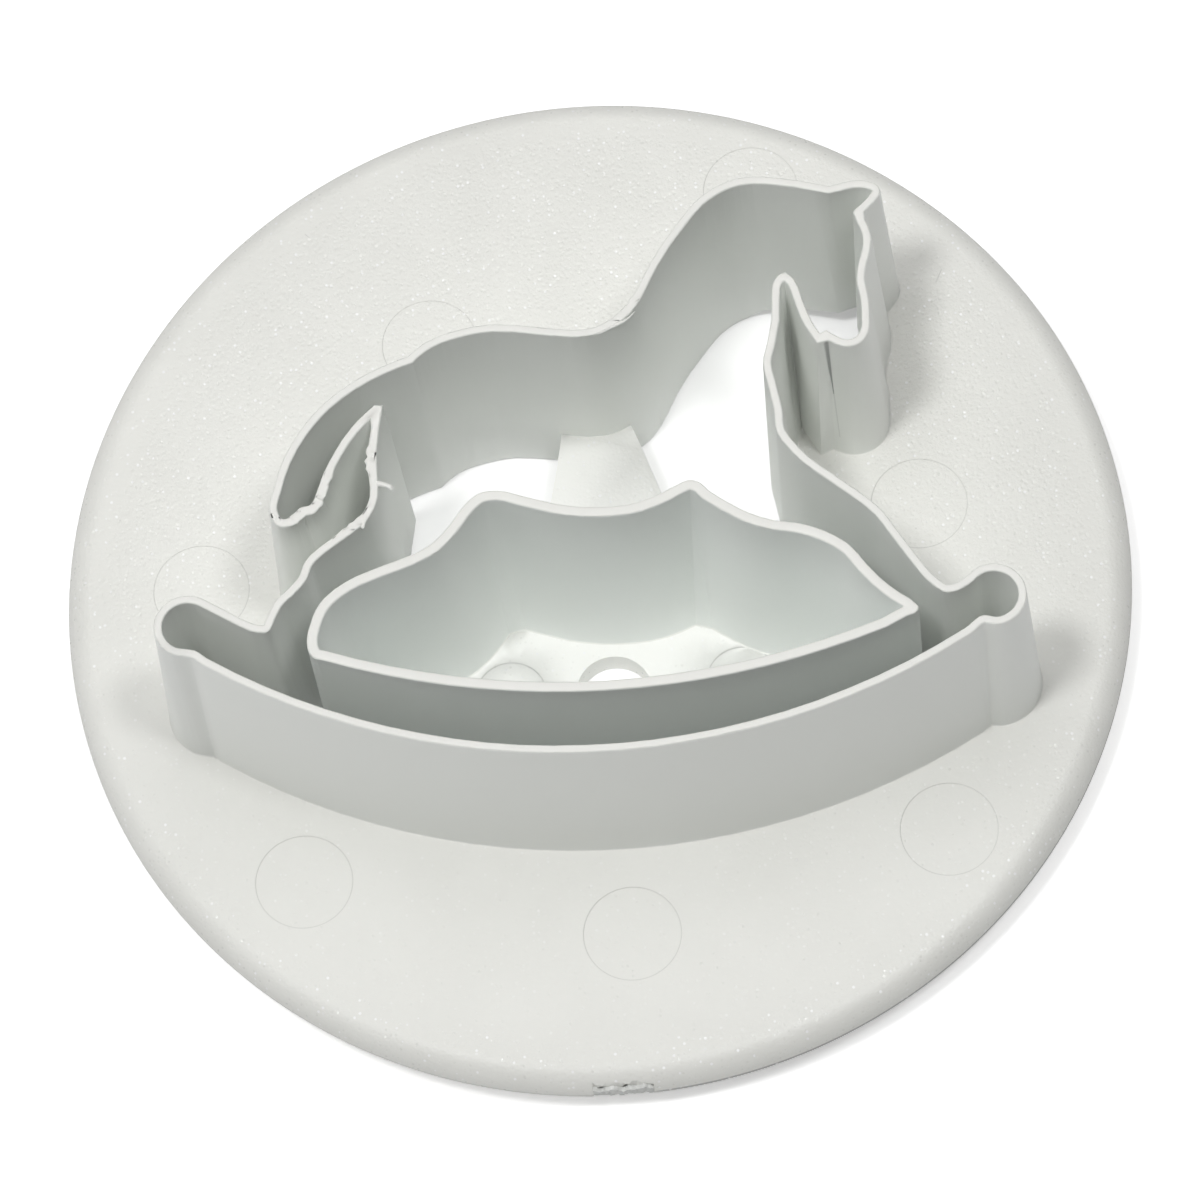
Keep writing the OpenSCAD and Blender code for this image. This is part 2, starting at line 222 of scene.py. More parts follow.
def taken(name: str, scale: Triple = (1.0, 1.0, 1.0)) -> Piece:
    """Takes over the primitive that was just added.

    Args:
        name: Its new name.
        scale: Its size along its own axes.

    Returns:
        The piece, with its place, turn and scale in its mesh.
    """
    piece = bpy.context.object
    piece.name = piece.data.name = name
    piece.scale = scale
    at_origin(piece)
    return piece


def joined(pieces: list[Piece], name: str) -> Piece:
    """Joins pieces into the first one.

    Args:
        pieces: The pieces, of which the others end.
        name: New name of the first one.

    Returns:
        The first piece.
    """
    only(*pieces)
    if len(pieces) > 1:
        bpy.ops.object.join()
    pieces[0].name = pieces[0].data.name = name
    return pieces[0]


def copied(node: Piece, name: str) -> Piece:
    """Makes a free copy of a CAD node with its own mesh.

    Args:
        node: The CAD node, which stays as it is.
        name: Name of the copy.

    Returns:
        The copy, which rides on nothing yet, its doubled points joined.
    """
    piece = bpy.data.objects.new(name, node.data.copy())
    bpy.context.scene.collection.objects.link(piece)
    piece.data.materials.clear()
    merged(piece)
    return piece


def cut(piece: Piece, tool: Piece) -> None:
    """Cuts a tool's volume out of a piece and removes the tool.

    Args:
        piece: The piece to cut.
        tool: A closed piece.
    """
    step = piece.modifiers.new("cut", "BOOLEAN")
    step.operation, step.solver, step.object = "DIFFERENCE", "EXACT", tool
    apply(piece, step)
    bpy.data.objects.remove(tool)


def inside(points: np.ndarray, line: np.ndarray) -> np.ndarray:
    """Tells which points lie inside a closed line, by the even-odd rule.

    Args:
        points: One row of x and y for each point.
        line: One row of x and y for each corner of the line.

    Returns:
        One truth value for each point.
    """
    found = np.zeros(len(points), bool)
    for (ax, ay), (bx, by) in zip(line, np.roll(line, -1, axis=0)):
        if ay == by:
            continue
        over = (ay > points[:, 1]) != (by > points[:, 1])
        found ^= over & (points[:, 0] < (bx - ax) * (points[:, 1] - ay) / (by - ay) + ax)
    return found


def loops_of(edges: list[tuple[int, int]]) -> list[list[int]]:
    """Walks edges into closed loops.

    Args:
        edges: Two point numbers an edge.

    Returns:
        The point numbers of each loop, in order.
    """
    near: dict[int, list[int]] = {}
    for a, b in edges:
        near.setdefault(a, []).append(b)
        near.setdefault(b, []).append(a)
    loops: list[list[int]] = []
    left = set(near)
    while left:
        start = min(left)
        loop, here, last = [start], start, -1
        left.discard(start)
        while True:
            ahead = [n for n in near[here] if n != last and (n in left or n == start)]
            if not ahead or (ahead[0] == start and len(loop) > 2):
                break
            last, here = here, next((n for n in ahead if n in left), ahead[0])
            if here not in left:
                break
            left.discard(here)
            loop.append(here)
        loops.append(loop)
    return loops


def area(line: np.ndarray) -> float:
    """Signed area inside a closed line of x and y."""
    x, y = line[:, 0], line[:, 1]
    return 0.5 * float(np.sum(x * np.roll(y, -1) - np.roll(x, -1) * y))


# Shader helpers


@dataclass
class Graph:
    """A node tree with short ways to add and link nodes."""

    tree: Tree

    def add(self, kind: str, **values: object) -> Node:
        """Adds a node.

        Args:
            kind: The node's type.
            **values: Its properties; a key that starts with in_ sets or links that input.

        Returns:
            The node.
        """
        node = self.tree.nodes.new(kind)
        for key, value in values.items():
            if key.startswith("in_"):
                self.feed(node, key[3:], value)
            else:
                setattr(node, key, value)
        return node

    def feed(self, node: Node, key: str, value: object) -> None:
        """Sets or links one input.

        Args:
            node: The node.
            key: The input's number, or its name with _ for a space.
            value: A plain value, or the output to link.
        """
        socket = node.inputs[int(key)] if key.isdigit() else node.inputs[key.replace("_", " ")]
        if isinstance(value, Socket):
            self.tree.links.new(value, socket)
        else:
            socket.default_value = value

    def feeds(self, node: Node, **values: object) -> None:
        """Sets or links several inputs, named as feed does."""
        for key, value in values.items():
            self.feed(node, key, value)

    def math(self, work: str, *values: object, clamp: bool = False) -> Socket:
        """Result of a Math node."""
        inputs = {f"in_{i}": value for i, value in enumerate(values)}
        return self.add("ShaderNodeMath", operation=work, use_clamp=clamp, **inputs).outputs[0]

    def times(self, value: object, *others: object) -> Socket:
        """Product of two or more values."""
        for other in others:
            value = self.math("MULTIPLY", value, other)
        return value

    def vector(self, work: str, *values: object) -> Socket:
        """Result of a Vector Math node, a vector or a number as its work asks."""
        inputs = {f"in_{i}": value for i, value in enumerate(values)}
        node = self.add("ShaderNodeVectorMath", operation=work, **inputs)
        return node.outputs[1 if work in ("DISTANCE", "LENGTH", "DOT_PRODUCT") else 0]

    def axis(self, vector: Socket, name: str) -> Socket:
        """One coordinate, X, Y or Z, of a vector."""
        return self.add("ShaderNodeSeparateXYZ", in_Vector=vector).outputs[name]

    def ramp(
        self, value: object, low: float, high: float, a: float = 0.0, b: float = 1.0,
    ) -> Socket:
        """A value mapped smoothly from low..high to a..b."""
        node = self.add("ShaderNodeMapRange", interpolation_type="SMOOTHSTEP", in_Value=value)
        self.feeds(node, From_Min=low, From_Max=high, To_Min=a, To_Max=b)
        return node.outputs["Result"]

    def mix(self, share: object, a: object, b: object) -> Socket:
        """Colours a and b, each a tuple or an output, mixed by a share."""
        node = self.add("ShaderNodeMix", data_type="RGBA")
        for key, value in (("0", share), ("6", a), ("7", b)):
            self.feed(node, key, (*value, 1.0) if isinstance(value, tuple) else value)
        return node.outputs[2]

    def cloud(self, place: Socket, scale: object, detail: float, rough: float = 0.5) -> Socket:
        """Value of a noise texture at a place."""
        node = self.add("ShaderNodeTexNoise", in_Vector=place)
        self.feeds(node, Scale=scale, Detail=detail, Roughness=rough)
        return node.outputs["Fac"]

    def cells(self, place: Socket, scale: object) -> tuple[Socket, list[Socket]]:
        """Distance from the middle of the nearest random cell, and three random numbers of it."""
        node = self.add("ShaderNodeTexVoronoi", in_Vector=place, in_Scale=scale)
        numbers = self.add("ShaderNodeSeparateColor", in_Color=node.outputs["Color"]).outputs
        return node.outputs["Distance"], list(numbers)

    def seen(self) -> Socket:
        """1 on rays of the camera and through clear pieces, and 0 on light."""
        path = self.add("ShaderNodeLightPath").outputs
        return self.math("MAXIMUM", path["Is Camera Ray"], path["Is Transmission Ray"])


def group(
    name: str, inputs: dict[str, float], outputs: tuple[str, ...], scale: Triple = (MM, MM, MM),
) -> tuple[Graph, Node, Node, Socket]:
    """Starts a node group with a place input, float inputs and float outputs.

    Args:
        name: Name of the group.
        inputs: Float inputs with their default values.
        outputs: Names of the float outputs.
        scale: Lengths by which the place is divided.

    Returns:
        The group's graph, its input node, its output node and the scaled place.
    """
    tree = bpy.data.node_groups.new(name, "ShaderNodeTree")
    tree.interface.new_socket("Place", in_out="INPUT", socket_type="NodeSocketVector")
    for key, value in inputs.items():
        socket = tree.interface.new_socket(key, in_out="INPUT", socket_type="NodeSocketFloat")
        socket.default_value = value
    for key in outputs:
        tree.interface.new_socket(key, in_out="OUTPUT", socket_type="NodeSocketFloat")
    graph = Graph(tree)
    start, end = graph.add("NodeGroupInput"), graph.add("NodeGroupOutput")
    return graph, start, end, graph.vector("DIVIDE", start.outputs["Place"], scale)


@dataclass
class Effects:
    """Shader effects that the plastic finishes share, each built once.

    Scales are waves or cells a millimetre, and distances in a cell are shares of its size.
    """

    fine_rough: float = 0.62
    cell_scale: float = 0.8
    pit_reach: float = 0.6
    pit_share: float = 0.3
    core: Point = (0.20, 0.34)
    glint_over: float = 0.5
    # Where the painted glints start and are full, on a cell's random number
    painted_glint_over: Point = (0.85, 0.92)
    mottle_scale: float = 0.11
    streak_tall: float = 14.0 * MM
    streak_rough: float = 0.55
    band_scale: float = 0.22
    speck: Point = (0.015, 0.03)

    def __post_init__(self) -> None:
        """Builds the groups."""
        self.spark, self.draw, self.dust = self._spark(), self._draw(), self._dust()

    def _spark(self) -> Tree:
        """Spark-eroded grain: small pits and bumps, some with a bright leaning facet, a few of
        which also get a white dot of painted glint.

        Returns:
            The group.
        """
        outputs = ("Height", "Glint", "Spot", "Mottle", "Lean X", "Lean Y")
        g, start, end, place = group("spark_grain", {"Size": 0.35}, outputs)
        size = start.outputs["Size"]
        fine = g.cloud(place, g.math("DIVIDE", 1.0, size), 3.0, self.fine_rough)
        gap, (red, green, blue) = g.cells(place, g.math("DIVIDE", self.cell_scale, size))
        core = g.ramp(gap, *self.core, 1.0, 0.0)
        glint = g.times(core, g.math("GREATER_THAN", red, self.glint_over))
        pit = g.times(g.ramp(gap, 0.0, self.pit_reach), self.pit_share)
        g.feeds(
            end,
            Height=g.math("ADD", g.times(fine, 1.0 - self.pit_share), pit),
            Glint=glint,
            # Spot: white dots in the colour, a painted highlight for the glint of a facet
            Spot=g.times(core, g.ramp(red, *self.painted_glint_over)),
            Mottle=g.cloud(place, self.mottle_scale, 3.0),
            Lean_X=g.times(g.math("SUBTRACT", green, 0.5), glint),
            Lean_Y=g.times(g.math("SUBTRACT", blue, 0.5), glint),
        )
        return g.tree

    def _draw(self) -> Tree:
        """Faint upright streaks from the tool's polish and from drawing the part off it.

        Returns:
            The group.
        """
        scale = (MM, MM, self.streak_tall)
        g, start, end, place = group("draw_streaks", {"Width": 0.5}, ("Streak", "Band"), scale)
        fine = g.math("DIVIDE", 1.0, start.outputs["Width"])
        thin = g.cloud(place, fine, 2.0, self.streak_rough)
        g.feeds(end, Streak=thin, Band=g.cloud(place, self.band_scale, 1.0))
        return g.tree

    def _dust(self) -> Tree:
        """Sparse fine specks of dust and flakes.

        Returns:
            The group.
        """
        g, start, end, place = group("dust_specks", {"Spacing": 4.0, "Share": 0.2}, ("Speck",))
        gap, numbers = g.cells(place, g.math("DIVIDE", 1.0, start.outputs["Spacing"]))
        near = g.ramp(gap, *self.speck, 1.0, 0.0)
        few = g.math("LESS_THAN", numbers[1], start.outputs["Share"])
        g.feeds(end, Speck=g.times(near, few))
        return g.tree


@dataclass(frozen=True)
class StraightMark:
    """A straight scratch, weld line or broad darker band in millimetres, that narrows from its
    start to its end.
    """

    start: Triple
    end: Triple
    half: float = 0.06
    narrow: float = 0.8
    dark: float = 0.3
    deep: float = 0.02
    tint: Triple = (0.30, 0.31, 0.31)
    core: float = 0.35

    def mask(self, g: Graph, place: Socket) -> Socket:
        """Makes a mask that is 1 along the line.

        Args:
            g: The material's graph.
            place: Object coordinates.

        Returns:
            The mask.
        """
        a, b = Vector(self.start) * MM, Vector(self.end) * MM
        way = b - a
        off = g.vector("SUBTRACT", place, tuple(a))
        dot = g.vector("DOT_PRODUCT", off, tuple(way))
        along = g.math("DIVIDE", dot, way.length_squared, clamp=True)
        near = g.add("ShaderNodeVectorMath", operation="SCALE", in_0=tuple(way), in_Scale=along)
        gap = g.vector("DISTANCE", off, near.outputs[0])
        width = g.math("SUBTRACT", self.half * MM, g.times(along, self.half * self.narrow * MM))
        return g.ramp(g.math("DIVIDE", gap, width), self.core, 1.0, 1.0, 0.0)


@dataclass(frozen=True)
class Plastic:
    """A white moulded plastic finish with its grain, streaks and marks, lengths in millimetres."""

    name: str
    colour: Triple
    shade: Triple
    mottle: Point = (0.3, 0.7)
    rough: float = 0.5
    rough_swing: float = 0.08
    grain: float = 0.0
    grain_size: float = 0.35
    glint: float = 0.0
    glint_shine: float = 0.26
    # How far the painted glints turn the colour white
    spot: float = 0.9
    streak: float = 0.0
    streak_width: float = 0.5
    band_share: float = 0.6
    dust: float = 0.015
    dust_tint: Triple = (0.25, 0.25, 0.24)
    rings: tuple[Point, ...] = ()
    ring_r: float = 4.05
    ring_line: Point = (0.02, 0.075)
    ring_fade: float = 0.03
    ring_dark: float = 0.5
    ring_shade: float = 0.72
    ring_deep: float = 0.02
    # Towards the front along Y the grain and glints fade, and the colour gets a painted shade
    worn_and_shaded_y: Point | None = None
    worn_grain: float = 0.25
    painted_front_shade: float = 0.045
    worn_tint: Triple = (0.30, 0.31, 0.30)
    # Faces turned up take this colour; upright faces keep the finish's lighter, cooler colour,
    # painted light on the walls
    painted_up_colour: Triple | None = None
    painted_up_rise: Point = (0.3, 0.85)
    straight_marks: tuple[StraightMark, ...] = ()
    # A dark line round the rim's lip at these heights: the mould's seam and painted shade under the
    # lip, darker on the right
    parting: Point | None = None
    parting_fade: Point = (0.02, 0.15)
    parting_x: Point = (2.0, 6.0)
    parting_share: Point = (0.15, 0.65)
    parting_tint: Triple = (0.22, 0.22, 0.22)
    ior: float = 1.49

    def made(self, effects: Effects) -> Material:
        """Builds the finish as a node material.

        Args:
            effects: The shared shader groups.

        Returns:
            The material.
        """
        material = bpy.data.materials.new(self.name)
        material.use_nodes = True
        material.diffuse_color = (*self.colour, 1.0)
        g = Graph(material.node_tree)
        place = g.add("ShaderNodeTexCoord").outputs["Object"]
        spark, draw, dust = (
            g.add("ShaderNodeGroup", node_tree=tree, in_Place=place, **values).outputs
            for tree, values in (
                (effects.spark, {"in_Size": self.grain_size}),
                (effects.draw, {"in_Width": self.streak_width}),
                (effects.dust, {}),
            )
        )
        tone = g.ramp(spark["Mottle"], *self.mottle)
        if self.streak:
            band = g.times(draw["Band"], self.band_share)
            tone = g.math("ADD", g.times(tone, 1.0 - self.band_share), band)
        colour = g.mix(tone, self.shade, self.colour)
        height = g.times(spark["Height"], self.grain)
        crisp: object = 1.0
        if self.worn_and_shaded_y:
            along, low, high = g.axis(place, "Y"), self.worn_and_shaded_y[0] * MM, self.worn_and_shaded_y[1] * MM
            crisp = g.ramp(along, low, high, self.worn_grain, 1.0)
            height = g.times(height, crisp)
            # Painted shade: the colour darkens towards the front
            colour = g.mix(g.ramp(along, low, high, self.painted_front_shade, 0.0), colour, self.worn_tint)
        if self.streak:
            height = g.math("ADD", height, g.times(draw["Streak"], self.streak))
        # Painted light: upright faces stay lighter and cooler than faces turned up
        if self.painted_up_colour:
            level = g.axis(g.add("ShaderNodeNewGeometry").outputs["Normal"], "Z")
            colour = g.mix(g.ramp(level, *self.painted_up_rise), colour, self.painted_up_colour)
        for straight_mark in self.straight_marks:
            mark = straight_mark.mask(g, place)
            colour = g.mix(g.times(mark, straight_mark.dark), colour, straight_mark.tint)
            height = g.math("SUBTRACT", height, g.times(mark, straight_mark.deep))
        # The mould's seam along the lip, with painted shade under it
        if self.parting:
            colour = g.mix(self._parting_mask(g, place), colour, self.parting_tint)
        if self.rings:
            ring, within = self._ring_masks(g, place)
            ring_colour = tuple(self.ring_shade * c for c in self.shade)
            colour = g.mix(g.times(ring, self.ring_dark), colour, ring_colour)
            height = g.math("ADD", height, g.times(within, -self.ring_deep))
        colour = g.mix(g.times(dust["Speck"], self.dust), colour, self.dust_tint)
        swing = g.times(g.math("SUBTRACT", tone, 0.5), self.rough_swing)
        rough = g.math("ADD", self.rough, swing)
        bump = g.add("ShaderNodeBump", in_Height=height, in_Strength=1.0, in_Distance=MM)
        if self.glint:
            rough = g.math("SUBTRACT", rough, g.times(spark["Glint"], crisp, self.glint_shine))
            # Painted highlight: a few grain cells turn white, standing in for glints of light
            colour = g.mix(g.times(spark["Spot"], crisp, self.spot), colour, (1.0, 1.0, 1.0))
            g.feeds(bump, Normal=self._leant(g, spark))
        shader = material.node_tree.nodes["Principled BSDF"]
        g.feeds(shader, Base_Color=colour, Roughness=rough, IOR=self.ior)
        g.feeds(shader, Normal=bump.outputs["Normal"])
        return material

    def _leant(self, g: Graph, spark: bpy.types.NodeOutputs) -> Socket:
        """Leans the surface's direction on the bright facets of the grain.

        Args:
            g: The material's graph.
            spark: Outputs of the grain's group.

        Returns:
            The new direction.
        """
        leans = {f"in_{key}": g.times(spark[f"Lean {key}"], self.glint) for key in "XY"}
        lean = g.add("ShaderNodeCombineXYZ", **leans).outputs["Vector"]
        face = g.add("ShaderNodeNewGeometry").outputs["Normal"]
        return g.vector("NORMALIZE", g.vector("ADD", face, lean))

    def _parting_mask(self, g: Graph, place: Socket) -> Socket:
        """Masks the mould's seam along the rim's lip, with painted shade under it, fainter left of
        the gate.

        Args:
            g: The material's graph.
            place: Object coordinates.

        Returns:
            The mask.
        """
        (low, high), (rise, fall) = self.parting, self.parting_fade
        level, left, right = g.axis(place, "Z"), self.parting_x[0] * MM, self.parting_x[1] * MM
        above = g.ramp(level, low * MM, (low + rise) * MM)
        below = g.ramp(level, (high - fall) * MM, high * MM, 1.0, 0.0)
        share = g.ramp(g.axis(place, "X"), left, right, *self.parting_share)
        return g.times(above, below, share)

    def _ring_masks(self, g: Graph, place: Socket) -> tuple[Socket, Socket]:
        """Masks the fine circles that ejector pins leave.

        Args:
            g: The material's graph.
            place: Object coordinates.

        Returns:
            A mask of the thin circles, and a mask of what lies within them.
        """
        flat = g.vector("MULTIPLY", place, (1.0, 1.0, 0.0))
        gaps = [g.vector("DISTANCE", flat, (x * MM, y * MM, 0.0)) for x, y in self.rings]
        gap = gaps[0]
        for other in gaps[1:]:
            gap = g.math("MINIMUM", gap, other)
        off = g.math("ABSOLUTE", g.math("SUBTRACT", gap, self.ring_r * MM))
        line = g.ramp(off, self.ring_line[0] * MM, self.ring_line[1] * MM, 1.0, 0.0)
        low, high = self.ring_r - self.ring_fade, self.ring_r + self.ring_fade
        within = g.ramp(gap, low * MM, high * MM, 1.0, 0.0)
        return line, within


PINS: tuple[Point, ...] = (
    (-33.44, 0.35), (-13.94, 22.25), (13.86, 35.45), (27.36, 5.65), (-24.74, -26.15),
    (2.46, -31.75), (28.86, -23.65),
)
FLOOR_PINS: tuple[Point, ...] = ((-7.54, -9.15), (11.96, -8.55))
PLATE_MARKS = (
    StraightMark((29.51, 26.10, 5.8), (30.01, 27.25, 5.8), 0.07, 0.6, 0.22, 0.02),
    StraightMark((-24.84, 33.35, 5.8), (-24.24, 32.75, 5.8), 0.07, 0.5, 0.16, 0.02),
    StraightMark((-26.04, 32.65, 5.8), (-25.64, 33.05, 5.8), 0.06, 0.5, 0.16, 0.02),
)
WALL_MARKS = (
    StraightMark((20.37, 12.16, 25.4), (20.70, 11.45, 16.3), 0.32, 0.85, 0.8, 0.06),
    StraightMark((20.68, 11.50, 17.0), (20.93, 10.83, 8.6), 0.12, 0.5, 0.2, 0.01),
    # A broad band painted darker down both faces of the rear tip, 2.3 mm to each side, not a
    # scratch
    StraightMark((-33.40, -13.20, 25.3), (-33.50, -14.60, 6.5), 2.3, 0.0, 0.12, 0.0),
    StraightMark((1.66, -18.45, 13.2), (2.86, -18.45, 13.0), 0.05, 0.6, 0.2, 0.01),
)
# The plate's white, which the faces turned up on the blades also get
PLATE_WHITE: Triple = (0.87, 0.87, 0.83)

FROSTED = Plastic(
    "frosted_disc", PLATE_WHITE, (0.84, 0.84, 0.80), rough=0.48, grain=0.095, glint=0.5, rings=PINS,
    worn_and_shaded_y=(-22.0, 12.0), straight_marks=PLATE_MARKS,
)
# The rim keeps the plate's painted front shade
EDGE = replace(
    # The rim also gets a dark line along its lip: the mould's seam and painted shade under it
    FROSTED, name="frosted_edge", grain=0.05, glint=0.35, dust=0.0, parting=(3.38, 3.92),
    worn_grain=1.0, straight_marks=(),
)
# Walls lighter and cooler than the plate's white: painted light on the upright walls
SATIN = Plastic(
    "satin_blade", (0.955, 0.975, 0.94), (0.935, 0.955, 0.92), rough=0.42, grain=0.002,
    streak=0.006, painted_up_colour=PLATE_WHITE, straight_marks=WALL_MARKS,
)
# The island's walls, also lighter than the plate: painted light
ISLE = replace(
    SATIN, name="satin_island", colour=(0.94, 0.97, 0.945), shade=(0.92, 0.95, 0.925), straight_marks=(),
)
# Lighter than the plate: painted light on the island's floor and the bridge
FLOOR = Plastic(
    "frosted_floor", (0.97, 0.97, 0.94), (0.95, 0.95, 0.92), grain=0.03, glint=0.5,
    rings=FLOOR_PINS, ring_r=3.0,
)
TORN = Plastic(
    "torn_gate", (0.80, 0.81, 0.79), (0.60, 0.61, 0.59), rough=0.6, grain=0.06, grain_size=0.25,
    dust=0.3,
)


def dress(piece: Piece, material: Material, slot: Slot, *nodes: str) -> None:
    """Gives a piece its material and body, and reports it.

    Args:
        piece: The finished piece.
        material: Its finish.
        slot: Its material slot in the record; not used.
        *nodes: The CAD nodes that it stands for, if any.
    """
    mesh = piece.data
    mesh.materials.clear()
    mesh.materials.append(material)
    mesh.polygons.foreach_set("material_index", [0] * len(mesh.polygons))
    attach(piece, BODY)
    if nodes:
        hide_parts(*nodes)
    stands_for = ", ".join(nodes) or "itself"
    LOG.info("%s: %d faces, stands for %s", piece.name, len(mesh.polygons), stands_for)


@dataclass(frozen=True)
class Burr:
    """Where the cutting edge is ragged and a little thicker, in millimetres and degrees."""

    at: Point
    angle: float
    reach: float
    size: float
    side: Side = Side.OUTER
    step: float = 0.35
    depth: float = 0.55
    fade: float = 0.4
    wave: float = 0.45
    mean: float = 0.75
    swing: float = 0.9
    spread: float = 1.3

    def grow(self, co: np.ndarray, top_z: float, side: np.ndarray) -> np.ndarray:
        """Finds how far each point is pushed out of the wall.

        Args:
            co: The points' places.
            top_z: Height of the cutting edge.
            side: Which side of the wall each point is on.

        Returns:
            One length a point.
        """
        gap = np.hypot(co[:, 0] - self.at[0] * MM, co[:, 1] - self.at[1] * MM) / (self.reach * MM)
        high = np.clip((co[:, 2] - (top_z - self.depth * MM)) / (self.fade * MM), 0, 1)
        waves = [noise.noise(Vector((x, y, 0.0)) / (self.wave * MM)) for x, y, _ in co]
        ragged = np.array([self.mean + self.swing * wave for wave in waves])
        return self.size * MM * np.exp(-gap**4) * high * ragged * (side == self.side.value)


OUTER_BURRS = (
    Burr((-17.44, 3.05), 88.0, 1.3, 0.34),
    Burr((-22.84, -1.45), 12.0, 1.9, 0.24),
    Burr((-20.74, 0.75), 70.0, 1.6, 0.22),
    Burr((4.26, 15.75), 55.0, 1.5, 0.12),
    Burr((-18.44, -3.15), 36.0, 1.4, 0.16),
)
ISLAND_BURRS = (Burr((10.56, -19.25), 10.0, 0.7, 0.14),)

OUTER_RUNS = (
    "rear_tip_wall", "rocker_wall", "front_tip_wall", "foreleg_wall", "chest_wall", "jaw_wall",
    "muzzle_wall", "face_wall", "ear_wall", "poll_wall", "neck_wall", "back_wall", "rump_wall",
    "tail_tip_wall", "tail_inner_wall", "haunch_wall", "hind_leg_wall", "rear_runner_wall",
)
ISLAND_RUNS = ("island_front_wall", "island_fore_wall", "island_belly_wall", "island_rear_wall")


@dataclass
class Blade:
    """A thin wall round a closed line, kept in the solids as runs that meet end to end.

    The runs are copied, joined into one skin, given eased cutting edges, a small fillet where the
    wall stands on the moulding, and slight unevenness, and are then parted into their runs again.
    """

    name: str
    runs: tuple[str, ...]
    foot_z: float
    foot_side: Side
    burrs: tuple[Burr, ...]
    top_z: float = 25.8 * MM
    edge_r: float = 0.16 * MM
    edge_steps: tuple[float, ...] = (0.04, 0.15, 0.35, 0.62, 1.0)
    burr_steps: tuple[float, ...] = (0.3 * MM, 0.56 * MM)
    fillet_r: float = 0.14 * MM
    fillet_steps: tuple[float, ...] = (0.1, 0.3, 0.6, 1.0)
    wall_steps: tuple[float, ...] = (0.15, 0.35, 0.6, 0.8)
    sway: float = 0.03 * MM
    sway_wave: Point = (6 * MM, 18 * MM)
    nick: float = 0.018 * MM
    nick_wave: float = 0.8 * MM
    probe: float = 0.15 * MM
    ragged: float = 0.6 * MM
    skin: Piece | None = None
    outline: np.ndarray | None = None
    inline: np.ndarray | None = None

    def gather(self, nodes: Nodes) -> None:
        """Joins copies of the runs into one skin without the faces between them.

        Args:
            nodes: The CAD nodes by name.
        """
        shared: dict[tuple[int, ...], set[int]] = {}
        copies = [copied(nodes[run], f"{self.name}_{run}") for run in self.runs]
        for i, piece in enumerate(copies):
            for point in piece.data.vertices:
                shared.setdefault(self._key(point.co), set()).add(i)
        for i, piece in enumerate(copies):
            mesh = piece.data
            owners = [shared[self._key(p.co)] - {i} for p in mesh.vertices]
            pick_faces(piece, lambda f: bool(set.intersection(*[owners[v] for v in f.vertices])))
            with editing(piece, "FACE"):
                bpy.ops.mesh.delete(type="FACE")
            mark = mesh.attributes.new("run", "INT", "FACE")
            mark.data.foreach_set("value", [i] * len(mesh.polygons))
        self.skin = joined(copies, self.name)
        merged(self.skin)

    @staticmethod
    def _key(co: Vector) -> tuple[int, ...]:
        """A point's place rounded to half a micrometre."""
        return tuple(round(c / (0.0005 * MM)) for c in co)

    def measure(self) -> None:
        """Reads the two lines of the cutting edge from its flat top."""
        mesh = self.skin.data
        used: dict[tuple[int, int], int] = {}
        for face in mesh.polygons:
            if all(mesh.vertices[v].co.z > self.top_z - NEAR for v in face.vertices):
                for edge in face.edge_keys:
                    used[edge] = used.get(edge, 0) + 1
        co = places(mesh)[:, :2]
        lines = [co[loop] for loop in loops_of([e for e, n in used.items() if n == 1])]
        lines.sort(key=lambda line: -abs(area(line)))
        self.outline, self.inline = lines[0], lines[1]
        LOG.info("%s: cutting edge of %d and %d points", self.name, len(lines[0]), len(lines[1]))

    def sides(self) -> tuple[np.ndarray, np.ndarray]:
        """Finds for each point the level direction out of its side face, and which side it is on.

        Returns:
            One unit vector a point, zero where no upright face meets it, and one number a point:
            1 on the outer side, 0 on the inner side, -1 on neither.
        """
        mesh = self.skin.data
        way = np.zeros((len(mesh.vertices), 2))
        side = np.full(len(mesh.vertices), -1)
        normals = read(mesh.polygons, "normal", width=3)
        probe = read(mesh.polygons, "center", width=3)[:, :2] + self.probe * normals[:, :2]
        inner = inside(probe, self.outline)
        if self.foot_side is Side.OUTER:
            inner &= inside(probe, self.inline)
        for face, normal, is_inner in zip(mesh.polygons, normals, inner):
            if abs(normal[2]) < SLOPE:
                for v in face.vertices:
                    way[v] += normal[:2] * face.area
                    side[v] = 0 if is_inner else 1
        length = np.linalg.norm(way, axis=1, keepdims=True)
        return np.divide(way, length, out=np.zeros_like(way), where=length > 0), side

    def level_cuts(self) -> None:
        """Adds level loops round the wall: close together by the edge and the fillet."""
        tall = self.top_z - self.foot_z
        heights = [self.top_z - self.edge_r * k for k in self.edge_steps]
        heights += [self.top_z - drop for drop in self.burr_steps]
        heights += [self.foot_z + self.fillet_r * k for k in self.fillet_steps]
        heights += [self.foot_z + tall * k for k in self.wall_steps]
        for z in heights:
            with editing(self.skin, whole=True):
                bpy.ops.mesh.bisect(plane_co=(0, 0, z), plane_no=(0, 0, 1), threshold=1e-7)

    def cross_cuts(self) -> None:
        """Adds upright cuts near each burr, close enough for its ragged line."""
        for burr in self.burrs:
            angle = math.radians(burr.angle)
            way = Vector((math.cos(angle), math.sin(angle), 0.0))
            middle = Vector((*burr.at, 0.0)) * MM
            count = int(burr.spread * burr.reach / burr.step)
            for k in range(-count, count + 1):
                point = middle + way * (k * burr.step * MM)
                self._pick_near(point)
                with editing(self.skin, "FACE"):
                    bpy.ops.mesh.bisect(plane_co=point, plane_no=way, threshold=1e-7)

